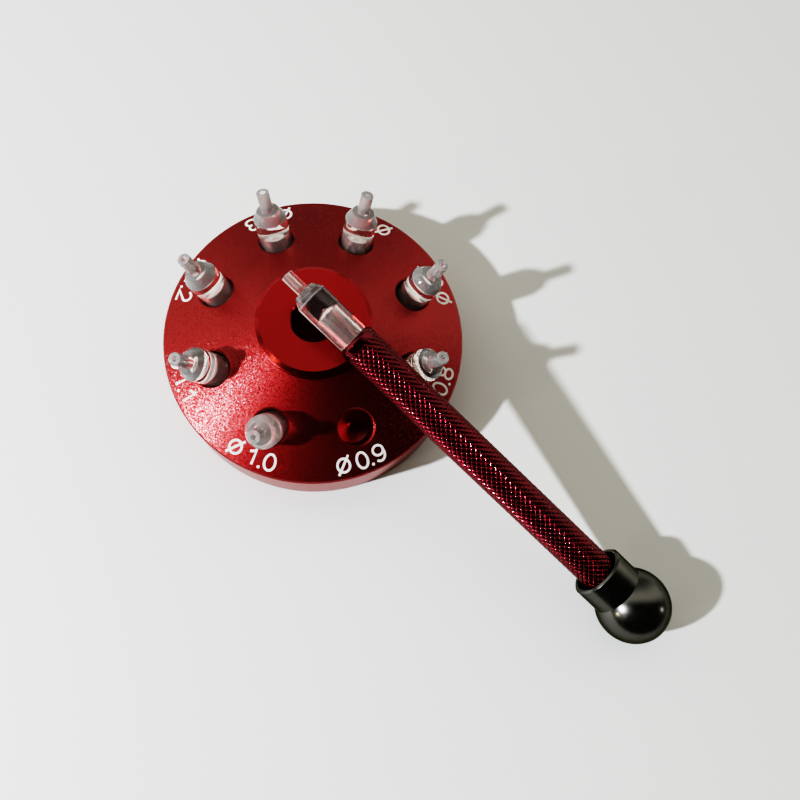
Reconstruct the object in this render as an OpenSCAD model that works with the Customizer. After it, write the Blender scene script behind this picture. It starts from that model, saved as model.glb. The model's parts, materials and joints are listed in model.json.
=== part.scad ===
// Press-tip stand for fitting watch hands: a round anodised stand with eight inclined
// pockets, eight clear press tips, and a knurled handle with a ball knob that lies across it.
// Millimetres, +Z up. The origin is the centre of the stand's flat underside.

/* [Stand] */
// Outer diameter of the round stand
stand_d = 66; // [60:0.5:72]
// Height of the upright side wall
rim_h = 12.6; // [10:0.1:16]
// Slope of the conical top
cone_angle = 19; // [14:0.5:22]
// Height of the flat on the central boss
stand_h = 22.4; // [22:0.1:28]
// Diameter of the central boss
boss_d = 24.6; // [20:0.1:26]
// Width of the bevel around the boss flat
boss_bevel_w = 0.9; // [0.4:0.1:1.4]
// Drop of that bevel
boss_bevel_h = 0.8; // [0.4:0.1:1.2]
// Edge break at the foot and the rim
edge_break = 0.3; // [0.1:0.1:0.6]

/* [Handle bore in the stand] */
// Diameter of the central bore that stores the handle upright
bore_d = 9.5; // [8.8:0.1:12]
// Depth of that bore at full diameter
bore_depth = 16; // [10:0.5:17]

/* [Tip pockets] */
// Diameter of the circle on which the pockets lie, where they meet the cone
pocket_circle_d = 46.8; // [44:0.2:50]
// Diameter of a pocket
pocket_d = 7.7; // [7.7:0.1:8.2]
// Depth of a pocket at full diameter, along its axis
pocket_depth = 5.9; // [5.9:0.1:7]
// Diameter of the bevelled mouth of a pocket
mouth_d = 8.6; // [8.4:0.1:9]
// Direction of the first pocket, whose tip is on the handle
first_pocket = -67.5; // [-90:0.5:-60]

/* [Press tips] */
// Outer diameter of a tip
tip_d = 7.1; // [6.6:0.1:7.1]
// Whole length of a tip
tip_len = 18.3; // [16:0.1:20]
// Diameter of the nose that presses the hand
nose_d = 2.7; // [2.4:0.1:3.2]
// Length of the nose
nose_len = 4.6; // [3:0.1:6]
// Diameter of the flat shoulder around the nose
shoulder_d = 4.8; // [4.4:0.1:5.6]
// Length of the taper behind the shoulder
taper_len = 2.05; // [1:0.05:3]
// Depth of the clearance hole in the nose
nose_bore_depth = 3.6; // [2:0.1:5]
// Diameter of the socket in the back of a tip
socket_d = 4.2; // [4.1:0.05:4.6]
// Depth of that socket at full diameter
socket_depth = 7.2; // [6:0.1:9]
// How deep a standing tip reaches into its pocket
seat_depth = 5.5; // [4:0.1:5.5]

/* [Handle] */
// Diameter over the knurling
handle_d = 8.2; // [7.8:0.1:8.3]
// Distance from the centre of the ball to the front face of the handle
handle_reach = 82.2; // [70:0.1:90]
// Bevel at the front end of the handle
handle_bevel = 0.65; // [0.3:0.05:1]
// Diameter of the spigot that holds a tip
spigot_d = 4.14; // [4:0.01:4.14]
// Length of the spigot
spigot_len = 5.2; // [4:0.1:6]
// Diameter of the spigot's bevelled end face
spigot_end_d = 2.5; // [2:0.1:3.5]
// Compass direction in which the handle points away from the stand
handle_azimuth = -41.3; // [-43:0.1:-41]
// Distance from the stand's axis to the centre of the ball, along that direction
ball_distance = 90.1; // [86:0.1:92]
// How far the handle passes beside the stand's axis
handle_offset = 1; // [0.5:0.1:1]

/* [Ball knob] */
// Diameter of the ball
ball_d = 16; // [15:0.1:16]
// Diameter of the flat at the far end of the ball
ball_flat_d = 6.8; // [4:0.1:8]
// Outer diameter of the collar
collar_d = 12.2; // [12:0.1:13]
// Distance from the centre of the ball to the collar's lip
collar_reach = 11.4; // [10:0.1:13]
// Bevel around the collar's lip
lip_bevel = 0.4; // [0.2:0.1:0.8]
// Diameter of the recess around the handle's end
recess_d = 10.3; // [10:0.1:10.6]
// Distance from the centre of the ball to the recess floor
recess_floor = 5.9; // [5:0.1:7]
// Diameter of the stud that joins the handle and the knob
stud_d = 4; // [3:0.1:5]
// Length of that stud
stud_len = 14; // [12:0.5:14]

/* [Hidden] */
$fn = 96;

cut = 1;              // extra length of a cutting tool beyond the face it leaves
rest_gap = 0.05;      // clearance kept where separate pieces rest on each other
run_gap = 0.03;       // radial clearance of the stud in the handle
drill_point_angle = 118; // included angle of a twist drill's point
drill_slope = tan(drill_point_angle / 2);

pocket_count = 8;
stand_r = stand_d / 2;
boss_r = boss_d / 2;
pocket_r = pocket_circle_d / 2;
cone_slope = tan(cone_angle);
foot_z = rim_h + (stand_r - boss_r) * cone_slope;   // where the boss wall meets the cone
pocket_z = rim_h + (stand_r - pocket_r) * cone_slope;
pocket_step = 360 / pocket_count;
mouth_bevel = (mouth_d - pocket_d) / 2;

// Each tip leans a little in its pocket: how far, and towards which side of the pocket,
// counted from straight outwards. The first pocket is the empty one.
tip_lean = [0, 3.5, 5, 4, 3, 3, 5, 3.5];
lean_side = [0, 60, -20, -10, 10, 25, -15, 0];

// The handle lies on the edge of the boss and on its own ball.
edge_run = ball_distance - sqrt(pow(boss_r - boss_bevel_w, 2) - pow(handle_offset, 2));
edge_rise = stand_h - ball_d / 2;
handle_tilt = atan2(edge_rise, edge_run)
    + asin((handle_d / 2 + rest_gap) / norm([edge_run, edge_rise]));

// A hole whose mouth is at z = 0 and whose bottom is the cone left by a drill.
module drilled(d, depth) {
    translate([0, 0, -depth]) cylinder(d = d, h = depth + cut);
    translate([0, 0, -depth - d / 2 / drill_slope])
        cylinder(d1 = 0, d2 = d, h = d / 2 / drill_slope);
}

// Puts its children at the mouth of a pocket, with +Z along the pocket's axis
// and +X straight outwards.
module at_pocket(index) {
    rotate([0, 0, first_pocket + index * pocket_step])
        translate([pocket_r, 0, pocket_z])
            rotate([0, cone_angle, 0])
                children();
}

// Leans its children inside a pocket.
module leaning(index) {
    rotate([0, 0, lean_side[index]])
        translate([seat_depth / 2 * sin(tip_lean[index]), 0, 0])
            rotate([0, tip_lean[index], 0])
                children();
}

// Puts its children in the handle's frame: the origin is the centre of the ball,
// and +Z runs along the handle to the tip.
module at_handle() {
    rotate([0, 0, handle_azimuth])
        translate([ball_distance, handle_offset, ball_d / 2])
            rotate([0, handle_tilt - 90, 0])
                children();
}

module stand_blank() {
    rotate_extrude($fn = 240)
        polygon([
            [0, 0],
            [stand_r - edge_break, 0],
            [stand_r, edge_break],
            [stand_r, rim_h - edge_break],
            [stand_r - edge_break, rim_h + edge_break * cone_slope],
            [boss_r, foot_z],
            [boss_r, stand_h - boss_bevel_h],
            [boss_r - boss_bevel_w, stand_h],
            [0, stand_h]
        ]);
}

module pocket() {
    drilled(pocket_d, pocket_depth);
    translate([0, 0, -mouth_bevel])
        cylinder(d1 = pocket_d, d2 = mouth_d + 2 * cut, h = mouth_bevel + cut);
}

module stand() {
    color("firebrick")
        difference() {
            stand_blank();
            translate([0, 0, stand_h]) {
                drilled(bore_d, bore_depth);
                translate([0, 0, -edge_break])
                    cylinder(d1 = bore_d, d2 = bore_d + 2 * (edge_break + cut), h = edge_break + cut);
            }
            for (index = [0 : pocket_count - 1]) at_pocket(index) pocket();
        }
}

// One clear tip, with its back face at z = 0 and its nose pointing up.
module tip(nose_bore_d) {
    body_len = tip_len - nose_len - taper_len;
    color("whitesmoke")
        difference() {
            union() {
                cylinder(d = tip_d, h = body_len);
                translate([0, 0, body_len]) cylinder(d1 = tip_d, d2 = shoulder_d, h = taper_len);
                cylinder(d = nose_d, h = tip_len);
            }
            mirror([0, 0, 1]) drilled(socket_d, socket_depth);
            translate([0, 0, tip_len]) drilled(nose_bore_d, nose_bore_depth);
        }
}

module standing_tip(index, nose_bore_d) {
    at_pocket(index)
        leaning(index)
            translate([0, 0, -seat_depth]) tip(nose_bore_d);
}

module mounted_tip(nose_bore_d) {
    at_handle()
        translate([0, 0, handle_reach + rest_gap]) tip(nose_bore_d);
}

module handle() {
    rear = recess_floor + rest_gap;
    point_len = (spigot_d - spigot_end_d) / 2;
    color("darkred")
        at_handle()
            difference() {
                union() {
                    translate([0, 0, rear])
                        cylinder(d = handle_d, h = handle_reach - handle_bevel - rear);
                    translate([0, 0, handle_reach - handle_bevel])
                        cylinder(d1 = handle_d, d2 = handle_d - 2 * handle_bevel, h = handle_bevel);
                    translate([0, 0, handle_reach - cut])
                        cylinder(d = spigot_d, h = spigot_len - point_len + cut);
                    translate([0, 0, handle_reach + spigot_len - point_len])
                        cylinder(d1 = spigot_d, d2 = spigot_end_d, h = point_len);
                }
                translate([0, 0, rear])
                    mirror([0, 0, 1])
                        drilled(stud_d + 2 * run_gap, stud_len / 2 + cut);
            }
}

module knob_stud() {
    color("silver")
        at_handle()
            translate([0, 0, recess_floor - stud_len / 2])
                cylinder(d = stud_d, h = stud_len);
}

module ball_knob() {
    flat_z = sqrt(pow(ball_d / 2, 2) - pow(ball_flat_d / 2, 2));
    color("dimgray")
        at_handle()
            difference() {
                union() {
                    intersection() {
                        sphere(d = ball_d, $fn = 160);
                        translate([0, 0, -flat_z]) cylinder(d = ball_d + cut, h = ball_d);
                    }
                    cylinder(d = collar_d, h = collar_reach - lip_bevel);
                    translate([0, 0, collar_reach - lip_bevel])
                        cylinder(d1 = collar_d, d2 = collar_d - 2 * lip_bevel, h = lip_bevel);
                }
                translate([0, 0, recess_floor])
                    cylinder(d = recess_d, h = collar_reach - recess_floor + cut);
                translate([0, 0, recess_floor]) drilled(stud_d, stud_len / 2);
            }
}

stand();
standing_tip(3, 0.6);  // tip_06
standing_tip(2, 0.7);  // tip_07
standing_tip(1, 0.8);  // tip_08
mounted_tip(0.9);  // tip_09
standing_tip(7, 1.0);  // tip_10
standing_tip(6, 1.1);  // tip_11
standing_tip(5, 1.2);  // tip_12
standing_tip(4, 1.3);  // tip_13
handle();
knob_stud();
ball_knob();
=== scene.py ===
"""Looks for a press-tip stand with eight clear tips and a knurled handle with a ball knob.

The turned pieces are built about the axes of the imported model's joints. Lengths are in
millimetres here and become metres when a mesh is made.
"""
import json
import math

import bmesh
import bpy
from mathutils import Matrix, Vector


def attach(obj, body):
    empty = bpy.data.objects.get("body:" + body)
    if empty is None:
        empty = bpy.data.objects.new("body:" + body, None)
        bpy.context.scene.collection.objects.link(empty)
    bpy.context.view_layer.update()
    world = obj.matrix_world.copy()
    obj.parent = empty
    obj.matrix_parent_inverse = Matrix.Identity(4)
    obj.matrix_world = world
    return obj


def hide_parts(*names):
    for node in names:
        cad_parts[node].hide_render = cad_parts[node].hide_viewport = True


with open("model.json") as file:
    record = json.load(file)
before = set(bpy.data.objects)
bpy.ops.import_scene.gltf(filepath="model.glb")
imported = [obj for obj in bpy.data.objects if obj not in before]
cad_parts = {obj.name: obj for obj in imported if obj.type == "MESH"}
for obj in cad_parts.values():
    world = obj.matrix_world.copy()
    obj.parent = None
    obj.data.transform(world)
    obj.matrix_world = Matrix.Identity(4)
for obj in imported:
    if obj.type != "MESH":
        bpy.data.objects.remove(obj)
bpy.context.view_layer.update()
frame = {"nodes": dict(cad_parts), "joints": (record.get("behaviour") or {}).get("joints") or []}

MM = 0.001
TAU = 2 * math.pi

# Stand: its cone, its boss and its ring of pockets
STAND_R = 33
RIM_H = 12.6
BOSS_R = 12.3
CONE_ANGLE = math.radians(19)
FIRST_POCKET = math.radians(-67.5)
POCKET_STEP = TAU / 8

# Where one finish of the stand gives way to the next
FINISH_BLEND = 0.1
HOLE_LIP = 0.5
HOLE_LIP_BLEND = 0.2
HOLES_R = 31
HOLES_BLEND = 1
DENTS_PER_M = 8000.0

# Press tips
TIP_R = 3.55
TIP_LEN = 18.3
NOSE_R = 1.35
NOSE_LEN = 4.6
SHOULDER_R = 2.4
TAPER_LEN = 2.05
NOSE_BORE_DEPTH = 3.6
SOCKET_R = 2.1
SOCKET_DEPTH = 7.2
DRILL_SLOPE = math.tan(math.radians(59))
NOSE_FOOT = TIP_LEN - NOSE_LEN
BODY_TOP = NOSE_FOOT - TAPER_LEN

# Press tips: their hole sizes in tenths of a millimetre, how milky they are, and their edge lines
TIP_SIZES = range(6, 14)
TIP_ON_HANDLE = 9
MILK_ON_HANDLE = 0.14
# Standing tips are milkier than the one on the handle: real haze plus painted glow for the light
# gathered in their clear bodies
STANDING_MILK_AND_GLOW = 0.42
DRILLED_MARGIN = 0.02
# Edge lines: pale frosted bands along the edges, painted highlights of the small edge breaks
PAINTED_EDGE_HIGHLIGHT = 0.05
EDGE_FADE = 0.1
TIP_ATTRIBUTES = ("height", "drilled", "milk_and_glow")

# Handle and knob, measured along the handle's axis from the centre of the ball
HANDLE_R = 4.1
HANDLE_FRONT = 82.2
HANDLE_REAR = 5.95
HANDLE_BEVEL = 0.65
PLAIN_BAND = 1.15
SPIGOT_R = 2.07
SPIGOT_END_R = 1.25
SPIGOT_LEN = 5.2
BALL_R = 8
BALL_FLAT_R = 3.4
BALL_FLAT_ROUND = 0.25
BALL_STEPS = 64
COLLAR_R = 6.1
COLLAR_REACH = 11.4
LIP_BEVEL = 0.4
RECESS_R = 5.15
RECESS_FLOOR = 5.9
STUD_R = 2
STUD_DEPTH = 7
STUD_HOLE_R = 2.03
STUD_HOLE_DEPTH = 8

# Knurling
KNURL_STARTS = 18
KNURL_CROWN = 0.6
KNURL_GROOVE = 0.05
KNURL_STEPS = 5
KNURL_SHARP = math.radians(50)

# Meshing: the angle over which an edge is sharp, and how near counts as touching
TURNED_SHARP = math.radians(30)
ON_AXIS = 1e-6
SAME_POINT = 1e-6
END_FACE_DEPTH = 0.01


# ---------------------------------------------------------------- node helpers

def new_material(name):
    """An empty node material with its Principled shader and its output."""
    material = bpy.data.materials.new(name)
    material.use_nodes = True
    nodes = material.node_tree.nodes
    nodes.clear()
    output = nodes.new("ShaderNodeOutputMaterial")
    shader = nodes.new("ShaderNodeBsdfPrincipled")
    material.node_tree.links.new(shader.outputs["BSDF"], output.inputs["Surface"])
    return material, shader


def add_node(tree, kind, inputs=None, **settings):
    """A node with its settings and inputs; an input that is a socket is linked."""
    node = tree.nodes.new(kind)
    for key, value in settings.items():
        setattr(node, key, value)
    for key, value in (inputs or {}).items():
        if isinstance(value, bpy.types.NodeSocket):
            tree.links.new(value, node.inputs[key])
        else:
            node.inputs[key].default_value = value
    return node


def noise(tree, vector, scale, detail):
    inputs = {"Vector": vector, "Scale": scale, "Detail": detail}
    return add_node(tree, "ShaderNodeTexNoise", inputs).outputs["Fac"]


def spread(tree, value, low, high, to_low, to_high):
    """Maps a value from low..high to to_low..to_high, without overshoot."""
    inputs = {"Value": value, "From Min": low, "From Max": high, "To Min": to_low, "To Max": to_high}
    return add_node(tree, "ShaderNodeMapRange", inputs).outputs["Result"]


def lobe(tree, value, low, high, strength):
    """Strength where the value is over high, nothing where it is under low, and smooth between."""
    inputs = {"Value": value, "From Min": low, "From Max": high, "To Min": 0.0, "To Max": strength}
    node = add_node(tree, "ShaderNodeMapRange", inputs, interpolation_type="SMOOTHSTEP")
    return node.outputs["Result"]


def combine(tree, first, second, operation):
    return add_node(tree, "ShaderNodeMath", {0: first, 1: second}, operation=operation).outputs["Value"]


def mask(tree, factor, low, high):
    """Low where a mask is 0 and high where it is 1."""
    return spread(tree, factor, 0, 1, low, high)


def blend_colour(tree, factor, first, second):
    node = add_node(tree, "ShaderNodeMix", data_type="RGBA")
    tree.links.new(factor, node.inputs["Factor"])
    node.inputs["A"].default_value = (*first, 1)
    node.inputs["B"].default_value = (*second, 1)
    return node.outputs["Result"]


def vector_math(tree, operation, *values, **named):
    inputs = {**dict(enumerate(values)), **named}
    return add_node(tree, "ShaderNodeVectorMath", inputs, operation=operation).outputs["Vector"]


def object_position(tree):
    return add_node(tree, "ShaderNodeTexCoord").outputs["Object"]


def colour_from(tree, cloud, low, high, first, second):
    """One colour where a noise is low and the other where it is high."""
    return blend_colour(tree, spread(tree, cloud, low, high, 0, 1), first, second)


def bump(tree, height, distance):
    inputs = {"Height": height, "Distance": distance, "Strength": 1.0}
    return add_node(tree, "ShaderNodeBump", inputs).outputs["Normal"]


# ---------------------------------------------------------------- materials

def surface_masks(tree, place):
    """Three masks: 1 on the blasted cone, on faces that look up, and below the cone, in the holes."""
    normal = add_node(tree, "ShaderNodeNewGeometry").outputs["True Normal"]
    height = add_node(tree, "ShaderNodeSeparateXYZ", {"Vector": normal}).outputs["Z"]
    flat = spread(tree, height, 0.99, 0.999, 0, 1)
    spot = add_node(tree, "ShaderNodeSeparateXYZ", {"Vector": place})
    squares = [combine(tree, spot.outputs[axis], 2.0, "POWER") for axis in "XY"]
    radius = combine(tree, combine(tree, *squares, "ADD"), 0.5, "POWER")
    cone_peak = RIM_H + STAND_R * math.tan(CONE_ANGLE)
    slope = spread(tree, radius, 0, STAND_R * MM, cone_peak * MM, RIM_H * MM)
    depth = combine(tree, slope, spot.outputs["Z"], "SUBTRACT")
    below = spread(tree, depth, HOLE_LIP * MM, (HOLE_LIP + HOLE_LIP_BLEND) * MM, 0, 1)
    inner = spread(tree, radius, HOLES_R * MM, (HOLES_R + HOLES_BLEND) * MM, 1, 0)
    inside = combine(tree, below, inner, "MULTIPLY")
    top = spread(tree, radius, (STAND_R - FINISH_BLEND) * MM, STAND_R * MM, 1, 0)
    boss = spread(tree, radius, BOSS_R * MM, (BOSS_R + FINISH_BLEND) * MM, 1, 0)
    blasted = combine(tree, combine(tree, top, boss, "SUBTRACT"), inside, "SUBTRACT")
    return spread(tree, blasted, 0, 1, 0, 1), flat, inside


def red_anodised():
    """Bead-blasted aluminium, dyed red: each tiny dent mirrors its own way, so the surface sparkles."""
    material, shader = new_material("red_anodised")
    tree = material.node_tree
    place = object_position(tree)
    cloud = noise(tree, place, 60, 3)
    shader.inputs["Metallic"].default_value = 1
    dye = colour_from(tree, cloud, 0.35, 0.65, (0.24, 0.0045, 0.0035), (0.22, 0.004, 0.003))
    tree.links.new(dye, shader.inputs["Base Color"])
    shader.inputs["Specular Tint"].default_value = (0.75, 0.45, 0.42, 1)
    blasted, flat, inside = surface_masks(tree, place)
    dents = add_node(tree, "ShaderNodeTexVoronoi", {"Vector": place, "Scale": DENTS_PER_M})
    random = add_node(tree, "ShaderNodeTexWhiteNoise", {"Vector": dents.outputs["Color"]})
    grain = noise(tree, place, 3000, 2)
    finish = combine(tree, mask(tree, blasted, 0.22, 0.38), mask(tree, flat, 0, 0.12), "ADD")
    finish = combine(tree, finish, mask(tree, inside, 0, 0.15), "ADD")
    tree.links.new(
        combine(tree, finish, spread(tree, grain, 0.3, 0.7, -0.02, 0.03), "ADD"),
        shader.inputs["Roughness"])
    # Every dent tilts a little, and about one in eight tilts a lot
    common = spread(tree, random.outputs["Value"], 0.2, 1, 0.17, 0.56)
    rare = spread(tree, random.outputs["Value"], 0.84, 0.9, 0, 1.3)
    amount = combine(tree, combine(tree, common, rare, "ADD"), blasted, "MULTIPLY")
    tilt = vector_math(tree, "SUBTRACT", random.outputs["Color"], (0.5, 0.5, 0.5))
    normal = add_node(tree, "ShaderNodeNewGeometry").outputs["Normal"]
    for share, socket in ((0.4, "Normal"), (1.0, "Coat Normal")):
        part = vector_math(tree, "SCALE", tilt, Scale=combine(tree, amount, share, "MULTIPLY"))
        facet = vector_math(tree, "NORMALIZE", vector_math(tree, "ADD", part, normal))
        tree.links.new(facet, shader.inputs[socket])
    shiny = combine(tree, mask(tree, blasted, 0.3, 0.75), mask(tree, inside, 0, 0.5), "ADD")
    tree.links.new(shiny, shader.inputs["Coat Weight"])
    shader.inputs["Coat Roughness"].default_value = 0.25
    shader.inputs["Coat IOR"].default_value = 1.53
    return material


def size_mark_white():
    """Laser marks: the dye is burnt away to a matt off-white."""
    material, shader = new_material("size_mark_white")
    tree = material.node_tree
    place = object_position(tree)
    speckle = noise(tree, place, 4000, 2)
    white = colour_from(tree, speckle, 0.35, 0.65, (0.72, 0.69, 0.66), (0.86, 0.84, 0.8))
    tree.links.new(white, shader.inputs["Base Color"])
    tree.links.new(spread(tree, speckle, 0.3, 0.7, 0.5, 0.7), shader.inputs["Roughness"])
    tree.links.new(bump(tree, speckle, 0.00001), shader.inputs["Normal"])
    return material


def clear_acrylic():
    """Turned acrylic: a clear body, a milky nose and holes, and pale lines along the edges that are
    painted highlights; the standing tips' extra milkiness is painted glow.
    """
    material, shader = new_material("clear_acrylic")
    tree = material.node_tree
    place = object_position(tree)
    haze = noise(tree, place, 1400, 3)
    stored = [add_node(tree, "ShaderNodeAttribute", attribute_name=key) for key in TIP_ATTRIBUTES]
    height, drilled, milk_and_glow = (node.outputs["Fac"] for node in stored)
    nose = spread(tree, height, BODY_TOP - EDGE_FADE, BODY_TOP + EDGE_FADE, 0.1, 1)
    # Milkiness: real haze, made stronger on the standing tips as painted glow
    frost = combine(tree, nose, milk_and_glow, "MULTIPLY")
    frost = combine(tree, frost, mask(tree, drilled, 0, 0.45), "MAXIMUM")
    # Pale frosted lines along the edges: painted highlights of the edge breaks
    for edge in (0.0, BODY_TOP, TIP_LEN):
        distance = combine(tree, combine(tree, height, edge, "SUBTRACT"), 0.0, "ABSOLUTE")
        line = spread(tree, distance, PAINTED_EDGE_HIGHLIGHT, PAINTED_EDGE_HIGHLIGHT + EDGE_FADE, 0.75, 0)
        frost = combine(tree, frost, line, "MAXIMUM")
    uneven = combine(tree, frost, spread(tree, haze, 0.3, 0.7, 0.9, 1.1), "MULTIPLY")
    shader.inputs["IOR"].default_value = 1.49
    tree.links.new(mask(tree, uneven, 0.995, 0.7), shader.inputs["Transmission Weight"])
    ripple = spread(tree, haze, 0.3, 0.7, 0, 0.008)
    roughness = combine(tree, mask(tree, drilled, 0.012, 0.1), ripple, "ADD")
    tree.links.new(roughness, shader.inputs["Roughness"])
    shader.inputs["Subsurface Weight"].default_value = 1
    shader.inputs["Subsurface Radius"].default_value = (1, 1, 1)
    shader.inputs["Subsurface Scale"].default_value = 0.002
    tint = colour_from(tree, haze, 0.3, 0.7, (1, 0.895, 0.865), (0.985, 0.875, 0.845))
    tree.links.new(tint, shader.inputs["Base Color"])
    tree.links.new(bump(tree, haze, 0.000001), shader.inputs["Normal"])
    return material


def crimson_knurled():
    """Knurled aluminium, dyed a slightly uneven dark crimson."""
    material, shader = new_material("crimson_knurled")
    tree = material.node_tree
    place = object_position(tree)
    grain = noise(tree, place, 3000, 2)
    cloud = noise(tree, place, 220, 2)
    shader.inputs["Metallic"].default_value = 1
    dye = colour_from(tree, cloud, 0.35, 0.65, (0.1, 0.0025, 0.008), (0.13, 0.0035, 0.011))
    tree.links.new(dye, shader.inputs["Base Color"])
    tree.links.new(spread(tree, grain, 0.3, 0.7, 0.18, 0.26), shader.inputs["Roughness"])
    tree.links.new(bump(tree, grain, 0.00002), shader.inputs["Normal"])
    shader.inputs["Specular Tint"].default_value = (0.4, 0.2, 0.22, 1)
    shader.inputs["Coat Weight"].default_value = 0.5
    shader.inputs["Coat Roughness"].default_value = 0.1
    return material


def black_chrome():
    """Polished dark plating with a very faint haze, its grazing reflection darkened as painted shade.
    """
    material, shader = new_material("black_chrome")
    tree = material.node_tree
    place = object_position(tree)
    haze = noise(tree, place, 500, 3)
    shader.inputs["Metallic"].default_value = 1
    plating = colour_from(tree, haze, 0.35, 0.65, (0.095, 0.094, 0.086), (0.11, 0.108, 0.1))
    tree.links.new(plating, shader.inputs["Base Color"])
    # Dark grazing tint: painted shade, dimming the rim's reflection of the bright table as if the knob
    # lay in shadow
    shader.inputs["Specular Tint"].default_value = (0.3, 0.3, 0.27, 1)
    tree.links.new(spread(tree, haze, 0.35, 0.65, 0.2, 0.26), shader.inputs["Roughness"])
    tree.links.new(bump(tree, haze, 0.000002), shader.inputs["Normal"])
    return material


def turned_steel():
    """Plain turned steel, for the stud inside the knob."""
    material, shader = new_material("turned_steel")
    tree = material.node_tree
    place = object_position(tree)
    grain = noise(tree, place, 2500, 2)
    shader.inputs["Metallic"].default_value = 1
    metal = colour_from(tree, grain, 0.35, 0.65, (0.5, 0.5, 0.51), (0.58, 0.58, 0.59))
    tree.links.new(metal, shader.inputs["Base Color"])
    tree.links.new(spread(tree, grain, 0.3, 0.7, 0.3, 0.42), shader.inputs["Roughness"])
    tree.links.new(bump(tree, grain, 0.000005), shader.inputs["Normal"])
    return material


# ---------------------------------------------------------------- mesh helpers

def make_object(name, mesh, material, body, nodes=()):
    """Links a mesh as a piece that rides on a body and stands for the CAD nodes named."""
    piece = bpy.data.objects.new(name, mesh)
    bpy.context.scene.collection.objects.link(piece)
    mesh.materials.append(material)
    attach(piece, body)
    if nodes:
        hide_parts(*nodes)
    return piece


def rounded(corners, steps=4):
    """The outline through (r, z, radius) corners, with each corner rounded to its radius."""
    outline = []
    last = len(corners) - 1
    for index, (r, z, radius) in enumerate(corners):
        here = Vector((r, z))
        if index in (0, last) or not radius:
            outline.append(here)
            continue
        back = (Vector(corners[index - 1][:2]) - here).normalized()
        ahead = (Vector(corners[index + 1][:2]) - here).normalized()
        half = back.angle(ahead) / 2
        reach = radius / math.tan(half)
        centre = here + (back + ahead).normalized() * (radius / math.sin(half))
        start = here + back * reach - centre
        turn = start.angle_signed(here + ahead * reach - centre)
        for step in range(steps + 1):
            outline.append(centre + Matrix.Rotation(-turn * step / steps, 2) @ start)
    return outline


def lathe(name, outline, place, segments=128):
    """Turns an outline, in mm, about +Z; an end on the axis becomes one point."""
    build = bmesh.new()
    rings = []
    for r, z in outline:
        if r < ON_AXIS:
            rings.append([build.verts.new((0, 0, z))])
            continue
        angles = (TAU * k / segments for k in range(segments))
        rings.append([build.verts.new((r * math.cos(a), r * math.sin(a), z)) for a in angles])
    for low, high in zip(rings, rings[1:]):
        for k in range(segments):
            following = (k + 1) % segments
            if len(low) == 1:
                build.faces.new((low[0], high[k], high[following]))
            elif len(high) == 1:
                build.faces.new((low[k], low[following], high[0]))
            else:
                build.faces.new((low[k], low[following], high[following], high[k]))
    bmesh.ops.recalc_face_normals(build, faces=build.faces)
    for face in build.faces:
        face.smooth = True
    for edge in build.edges:
        edge.smooth = edge.calc_face_angle(0) < TURNED_SHARP
    return finish_mesh(name, build, place)


def finish_mesh(name, build, place):
    """A mesh of what was built, with mm turned into metres and put in place."""
    bmesh.ops.transform(build, matrix=place @ Matrix.Scale(MM, 4), verts=build.verts)
    mesh = bpy.data.meshes.new(name)
    build.to_mesh(mesh)
    build.free()
    return mesh


def standing_at(origin, axis):
    """A matrix that puts the local +Z along axis, from origin, in metres."""
    return Matrix.Translation(origin) @ Vector(axis).to_track_quat("Z", "Y").to_matrix().to_4x4()


def joint(name):
    return next(j for j in frame["joints"] if j["name"] == name)


def foot_of(node, axis):
    """The centre of a turned node's end face, at the low end of its axis."""
    turned = standing_at((0, 0, 0), axis).to_3x3()
    points = [turned.transposed() @ v.co for v in frame["nodes"][node].data.vertices]
    low = min(p.z for p in points)
    face = [p for p in points if p.z < low + END_FACE_DEPTH * MM]
    middle = [(min(p[k] for p in face) + max(p[k] for p in face)) / 2 for k in (0, 1)]
    return turned @ Vector((*middle, low))


# ---------------------------------------------------------------- press tips

def tip_outline(bore_r):
    """Half section of a tip, from the bottom of the nose's bore round to the socket's bottom."""
    bore_floor = TIP_LEN - NOSE_BORE_DEPTH
    return rounded([
        (0, bore_floor - bore_r / DRILL_SLOPE, 0),
        (bore_r, bore_floor, 0.03),
        (bore_r, TIP_LEN, 0.04),
        (NOSE_R, TIP_LEN, 0.08),
        (NOSE_R, NOSE_FOOT, 0.05),
        (SHOULDER_R, NOSE_FOOT, 0.08),
        (TIP_R, BODY_TOP, 0.08),
        (TIP_R, 0, 0.08),
        (SOCKET_R, 0, 0.05),
        (SOCKET_R, SOCKET_DEPTH, 0.05),
        (0, SOCKET_DEPTH + SOCKET_R / DRILL_SLOPE, 0),
    ])


def make_tips(material):
    for tenths in TIP_SIZES:
        node = f"tip_{tenths:02d}"
        on_handle = tenths == TIP_ON_HANDLE
        moving = joint(f"{node}_pull" if on_handle else f"{node}_lift")
        place = standing_at(foot_of(node, moving["axis"]), moving["axis"])
        mesh = lathe(f"clear_{node}", tip_outline(tenths / 20), place)
        height, drilled, milk_and_glow = (mesh.attributes.new(key, "FLOAT", "POINT") for key in TIP_ATTRIBUTES)
        local = place.inverted()
        for index, vertex in enumerate(mesh.vertices):
            spot = (local @ vertex.co) / MM
            hole_r = SOCKET_R if spot.z < BODY_TOP else tenths / 20
            height.data[index].value = spot.z
            drilled.data[index].value = spot.xy.length < hole_r + DRILLED_MARGIN
            milk_and_glow.data[index].value = MILK_ON_HANDLE if on_handle else STANDING_MILK_AND_GLOW
        make_object(f"clear_{node}", mesh, material, node, [node])


# ---------------------------------------------------------------- knurled handle

def knurl_height(across, along):
    """Height against the crests at a point, with both places counted in half diamonds.

    Two families of V grooves cross at right angles and leave rounded pyramids between them.
    """
    phases = ((across + side * along) / 2 % 1 for side in (1, -1))
    nearest = min(min(phase, 1 - phase) for phase in phases)
    groove = max(0, 1 - nearest * 2 * KNURL_STEPS)
    return KNURL_CROWN * (nearest * (1 - nearest) - 0.25) - KNURL_GROOVE * groove


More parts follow.
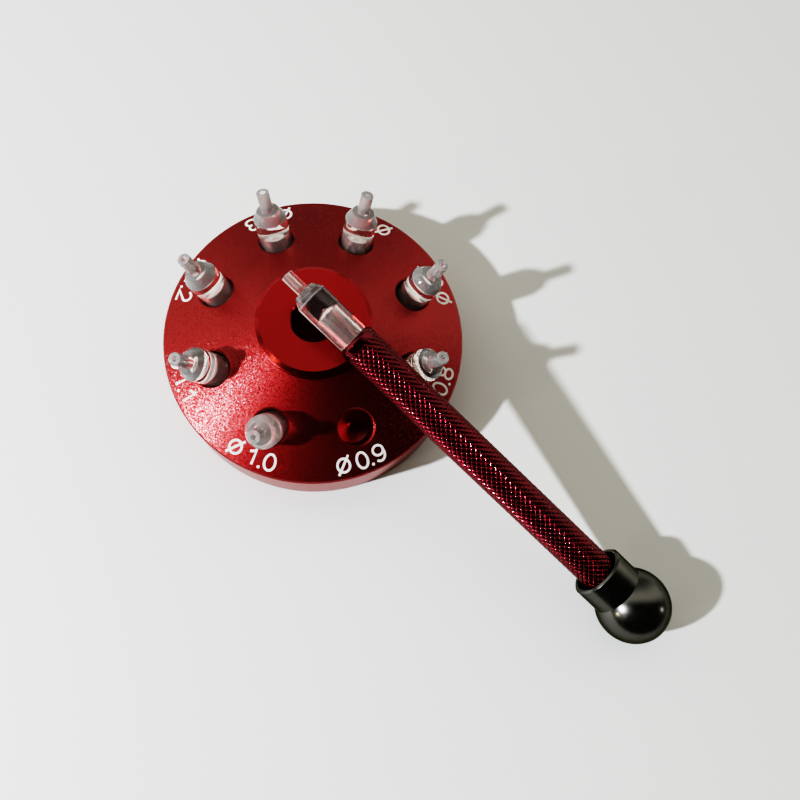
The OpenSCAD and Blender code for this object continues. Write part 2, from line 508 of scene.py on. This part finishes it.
def knurled_handle(material):
    turn = joint("knob_turn")
    place = standing_at(turn["pos_m"], turn["axis"])
    around = KNURL_STARTS * 2 * KNURL_STEPS
    pitch = TAU * HANDLE_R / KNURL_STARTS / 2 / KNURL_STEPS
    knurl_end = HANDLE_FRONT - HANDLE_BEVEL - PLAIN_BAND
    rows = int((knurl_end - HANDLE_REAR) / pitch)
    start = knurl_end - rows * pitch
    build = bmesh.new()

    def ring(z, radius_at):
        angles = (TAU * k / around for k in range(around))
        return [build.verts.new((radius_at(k) * math.cos(a), radius_at(k) * math.sin(a), z))
                for k, a in enumerate(angles)]

    def plain(radius):
        return lambda k: radius

    def knurled(row):
        fade = min(1, row / KNURL_STEPS, (rows - row) / KNURL_STEPS)
        return lambda k: HANDLE_R + fade * knurl_height(k / KNURL_STEPS, row / KNURL_STEPS)

    hole_floor = HANDLE_REAR + STUD_HOLE_DEPTH
    rings = [
        [build.verts.new((0, 0, hole_floor + STUD_HOLE_R / DRILL_SLOPE))],
        ring(hole_floor, plain(STUD_HOLE_R)),
        ring(HANDLE_REAR, plain(STUD_HOLE_R)),
        ring(HANDLE_REAR, plain(HANDLE_R)),
    ]
    first_knurl = len(rings)
    rings += [ring(start + row * pitch, knurled(row)) for row in range(rows + 1)]
    front = rounded([
        (HANDLE_R, knurl_end, 0),
        (HANDLE_R, HANDLE_FRONT - HANDLE_BEVEL, 0.1),
        (HANDLE_R - HANDLE_BEVEL, HANDLE_FRONT, 0.1),
        (SPIGOT_R, HANDLE_FRONT, 0.05),
        (SPIGOT_R, HANDLE_FRONT + SPIGOT_LEN - SPIGOT_R + SPIGOT_END_R, 0.1),
        (SPIGOT_END_R, HANDLE_FRONT + SPIGOT_LEN, 0.1),
        (0, HANDLE_FRONT + SPIGOT_LEN, 0),
    ])
    for r, z in front[1:-1]:
        rings.append(ring(z, plain(r)))
    rings.append([build.verts.new((0, 0, front[-1].y))])

    for index, (low, high) in enumerate(zip(rings, rings[1:])):
        row = index - first_knurl
        for k in range(around):
            following = (k + 1) % around
            if len(low) == 1:
                build.faces.new((low[0], high[k], high[following]))
            elif len(high) == 1:
                build.faces.new((low[k], low[following], high[0]))
            elif not 0 <= row < rows:
                build.faces.new((low[k], low[following], high[following], high[k])).smooth = True
            else:
                across = (k + 0.5) / KNURL_STEPS
                along = (row + 0.5) / KNURL_STEPS
                right = abs((across + along) / 2 % 1 - 0.5)
                left = abs((across - along) / 2 % 1 - 0.5)
                a, b, c, d = low[k], low[following], high[following], high[k]
                halves = ((a, b, d), (b, c, d)) if right > left else ((a, b, c), (a, c, d))
                for half in halves:
                    build.faces.new(half).smooth = True
    bmesh.ops.recalc_face_normals(build, faces=build.faces)
    for edge in build.edges:
        edge.smooth = edge.calc_face_angle(0) < KNURL_SHARP
    mesh = finish_mesh("knurled_handle", build, place)
    make_object("knurled_handle", mesh, material, "handle", ["handle"])


# ---------------------------------------------------------------- ball knob

def ball_and_collar(material):
    turn = joint("knob_turn")
    place = standing_at(turn["pos_m"], turn["axis"])
    flat_angle = math.asin(BALL_FLAT_R / BALL_R)
    neck_angle = math.pi - math.asin(COLLAR_R / BALL_R)
    corners = [(0, -BALL_R * math.cos(flat_angle), 0)]
    for step in range(BALL_STEPS + 1):
        angle = flat_angle + (neck_angle - flat_angle) * step / BALL_STEPS
        edge_round = 0 if step else BALL_FLAT_ROUND
        corners.append((BALL_R * math.sin(angle), -BALL_R * math.cos(angle), edge_round))
    corners += [
        (COLLAR_R, COLLAR_REACH - LIP_BEVEL, 0.1),
        (COLLAR_R - LIP_BEVEL, COLLAR_REACH, 0.08),
        (RECESS_R, COLLAR_REACH, 0.12),
        (RECESS_R, RECESS_FLOOR, 0.1),
        (STUD_R, RECESS_FLOOR, 0),
        (STUD_R, RECESS_FLOOR - STUD_DEPTH, 0),
        (0, RECESS_FLOOR - STUD_DEPTH - STUD_R / DRILL_SLOPE, 0),
    ]
    mesh = lathe("ball_and_collar", rounded(corners), place, segments=160)
    make_object("ball_and_collar", mesh, material, "knob", ["ball_knob"])


# ---------------------------------------------------------------- size marks

MARK_STROKE = 0.52
MARK_H = 3.97
MARK_W = 2.85
MARK_BASE = 1.15
MARK_LIFT = 0.012
MARK_SINK = 0.03
SIGN_X = -5.4
FIRST_DIGIT_X = -1.26
POINT_X = 0.67
LAST_DIGIT_X = 2.7
MARK_R = 30.5
SIGN_W = 3.2
SIGN_H = 3.42
MARK_LAYER = 0.3
MITRE_LIMIT = 0.5
# Sizes in tenths of a millimetre, in the order of the pockets, and each mark's turn in degrees
MARK_TURNS = {9: 0, 8: 0.65, 7: 5.2, 6: 1.9, 13: 1.6, 12: 1.0, 11: 0.65, 10: 0}


def arc(x, y, rx, ry, start, end, steps=20):
    """Points of an ellipse's arc between two angles in degrees."""
    angles = (math.radians(start + (end - start) * k / steps) for k in range(steps + 1))
    return [(x + rx * math.cos(a), y + ry * math.sin(a)) for a in angles]


def glyph(character):
    """Centre lines of a character, about the middle of its foot."""
    w = (MARK_W - MARK_STROKE) / 2
    h = MARK_H - MARK_STROKE
    mid = h / 2
    if character == "0":
        return [arc(0, mid, w, mid, 0, 360, 40)]
    if character == "1":
        return [[(w * 0.35, 0), (w * 0.35, h), (w * 0.05, h * 0.84), (-w * 0.75, h * 0.72)]]
    if character == "2":
        bowl = arc(0, h - w * 0.92, w * 0.95, w * 0.92, 165, -30)
        return [bowl + [(-w, 0), (w, 0)]]
    if character == "3":
        upper = arc(0, h * 0.75, w * 0.85, h * 0.25, 155, -90)
        lower = arc(0, h * 0.26, w, h * 0.26, 85, -155)
        return [upper, lower]
    if character == "6":
        loop = arc(0, h * 0.31, w, h * 0.31, 0, 360, 40)
        stem = arc(w * 0.12, h * 0.5, w * 1.12, h * 0.5, 205, 50)
        return [loop, stem]
    if character == "7":
        return [[(-w, h), (w, h), (w * 0.2, h * 0.55), (-w * 0.35, 0)]]
    if character == "8":
        upper = arc(0, h * 0.76, w * 0.82, h * 0.24, 0, 360, 40)
        lower = arc(0, h * 0.27, w, h * 0.27, 0, 360, 40)
        return [upper, lower]
    if character == "9":
        return [[(-x, h - y) for x, y in stroke] for stroke in glyph("6")]
    if character == ".":
        return [arc(0, 0.06, 0.06, 0.06, 0, 360, 8)]
    # The diameter sign: a ring and its slash
    ring = arc(0, mid, (SIGN_W - MARK_STROKE) / 2, (SIGN_H - MARK_STROKE) / 2, 0, 360, 40)
    return [ring, [(-1.3, mid - 2.0), (1.42, mid + 2.0)]]


def on_cone(x, y, azimuth, lift):
    """A point on the cone, x along the rim from azimuth and y up the slope from the rim."""
    turn = azimuth + x / MARK_R
    r = STAND_R - y * math.cos(CONE_ANGLE) + lift * math.sin(CONE_ANGLE)
    z = RIM_H + y * math.sin(CONE_ANGLE) + lift * math.cos(CONE_ANGLE)
    return Vector((r * math.cos(turn), r * math.sin(turn), z))


def add_stroke(build, line, azimuth, lift):
    """A closed ribbon along a centre line, just proud of the cone."""
    closed = (Vector(line[0]) - Vector(line[-1])).length < SAME_POINT
    points = [Vector(p) for p in (line[:-1] if closed else line)]
    count = len(points)
    sections = []
    for k, point in enumerate(points):
        back = points[k - 1] if closed or k else point
        ahead = points[(k + 1) % count] if closed or k < count - 1 else point
        incoming = (point - back).normalized() if point != back else (ahead - point).normalized()
        outgoing = (ahead - point).normalized() if point != ahead else incoming
        side = (incoming + outgoing).normalized()
        side = Vector((-side.y, side.x))
        reach = MARK_STROKE / 2 / max(MITRE_LIMIT, side.dot(Vector((-outgoing.y, outgoing.x))))
        section = []
        for sign, height in ((1, lift), (-1, lift), (-1, -MARK_SINK), (1, -MARK_SINK)):
            x, y = point + side * reach * sign
            section.append(build.verts.new(on_cone(x, y, azimuth, height)))
        sections.append(section)
    spans = list(zip(sections, sections[1:])) + ([(sections[-1], sections[0])] if closed else [])
    for first, second in spans:
        for k in range(4):
            following = (k + 1) % 4
            build.faces.new((first[k], first[following], second[following], second[k]))
    if not closed:
        build.faces.new(sections[0])
        build.faces.new(reversed(sections[-1]))


def size_marks(material):
    for pocket, (tenths, turned) in enumerate(MARK_TURNS.items()):
        azimuth = FIRST_POCKET + pocket * POCKET_STEP + math.radians(turned)
        whole, part = divmod(tenths, 10)
        places = {SIGN_X: "sign", FIRST_DIGIT_X: str(whole), POINT_X: ".", LAST_DIGIT_X: str(part)}
        build = bmesh.new()
        for x0, character in places.items():
            for layer, line in enumerate(glyph(character)):
                shifted = [(x + x0, y + MARK_BASE + MARK_STROKE / 2) for x, y in line]
                add_stroke(build, shifted, azimuth, MARK_LIFT * (1 + MARK_LAYER * layer))
        bmesh.ops.recalc_face_normals(build, faces=build.faces)
        name = f"size_mark_{tenths:02d}"
        mesh = finish_mesh(name, build, Matrix.Identity(4))
        make_object(name, mesh, material, "stand")


# ---------------------------------------------------------------- stage, light and camera

def floor():
    mesh = bpy.data.meshes.new("floor")
    half = 4
    corners = [(-half, -half, 0), (half, -half, 0), (half, half, 0), (-half, half, 0)]
    mesh.from_pydata(corners, [], [(0, 1, 2, 3)])
    table = bpy.data.objects.new("floor", mesh)
    bpy.context.scene.collection.objects.link(table)
    material, shader = new_material("pale_table")
    shader.inputs["Base Color"].default_value = (0.78, 0.775, 0.75, 1)
    shader.inputs["Roughness"].default_value = 0.6
    mesh.materials.append(material)


def towards(azimuth, elevation):
    a, e = math.radians(azimuth), math.radians(elevation)
    return Vector((math.cos(a) * math.cos(e), math.sin(a) * math.cos(e), math.sin(e)))


def soft_light(name, azimuth, elevation, distance, size, power, colour):
    """A round area light aimed at the origin, in degrees and metres."""
    lamp = bpy.data.lights.new(name, "AREA")
    lamp.shape = "DISK"
    lamp.size = size
    lamp.energy = power
    lamp.color = colour
    place = bpy.data.objects.new(name, lamp)
    aim = towards(azimuth, elevation)
    place.matrix_world = standing_at(aim * distance, aim)
    bpy.context.scene.collection.objects.link(place)


def surroundings():
    """A room bright overhead and behind, dim towards the viewer, with a faint window at the left."""
    world = bpy.data.worlds.new("room")
    bpy.context.scene.world = world
    world.use_nodes = True
    tree = world.node_tree
    tree.nodes.clear()
    direction = add_node(tree, "ShaderNodeTexCoord").outputs["Generated"]
    axes = add_node(tree, "ShaderNodeSeparateXYZ", {"Vector": direction})
    ceiling = lobe(tree, axes.outputs["Y"], 0, 0.35, 1.02)
    far_dim = lobe(tree, axes.outputs["Y"], 0.48, 0.9, -0.78)
    to_window = {0: direction, 1: (-0.97, 0.2, 0.1)}
    facing = add_node(tree, "ShaderNodeVectorMath", to_window, operation="DOT_PRODUCT")
    window = lobe(tree, facing.outputs["Value"], 0.45, 0.9, 0.1)
    above = combine(tree, ceiling, far_dim, "ADD")
    beside = combine(tree, window, 0.04, "ADD")
    total = combine(tree, above, beside, "ADD")
    warm = {"Color": (1, 0.98, 0.87, 1), "Strength": total}
    background = add_node(tree, "ShaderNodeBackground", warm)
    pale = add_node(tree, "ShaderNodeBackground", {"Color": (0.8, 0.8, 0.78, 1), "Strength": 1.0})
    # The camera sees a plain pale backdrop, while the room lights everything else
    path = add_node(tree, "ShaderNodeLightPath")
    mix = add_node(tree, "ShaderNodeMixShader", {
        0: path.outputs["Is Camera Ray"], 1: background.outputs[0], 2: pale.outputs[0]})
    output = add_node(tree, "ShaderNodeOutputWorld")
    tree.links.new(mix.outputs[0], output.inputs["Surface"])


def camera():
    lens = bpy.data.cameras.new("camera")
    lens.lens = 32.4
    lens.sensor_width = 36
    lens.clip_start = 0.01
    lens.clip_end = 20
    view = bpy.data.objects.new("camera", lens)
    position = Vector((5.742, -55.584, 164.118)) * MM
    right = Vector((0.99663, -0.01545, 0.08060))
    up = Vector((-0.00607, 0.96555, 0.26014))
    back = right.cross(up)
    turned = Matrix((right, up, back)).transposed().to_4x4()
    view.matrix_world = Matrix.Translation(position) @ turned
    bpy.context.scene.collection.objects.link(view)
    bpy.context.scene.camera = view


camera()
floor()
surroundings()
soft_light(
    "key", azimuth=-160.5, elevation=38, distance=0.7, size=0.03, power=7.4, colour=(0.9, 0.93, 1.0))
soft_light(
    "lamp", azimuth=-150, elevation=19, distance=0.9, size=0.06, power=0.6, colour=(1.0, 0.92, 0.65))
soft_light(
    "side", azimuth=-13, elevation=16, distance=0.9, size=0.04, power=0.2, colour=(1.0, 1.0, 0.97))
bpy.context.scene.view_settings.view_transform = "Filmic"
bpy.context.scene.view_settings.look = "Very High Contrast"

stand = frame["nodes"]["stand"]
stand.data.materials.clear()
stand.data.materials.append(red_anodised())
stud = frame["nodes"]["knob_stud"]
stud.data.materials.clear()
stud.data.materials.append(turned_steel())
make_tips(clear_acrylic())
knurled_handle(crimson_knurled())
ball_and_collar(black_chrome())
size_marks(size_mark_white())

bpy.context.view_layer.update()
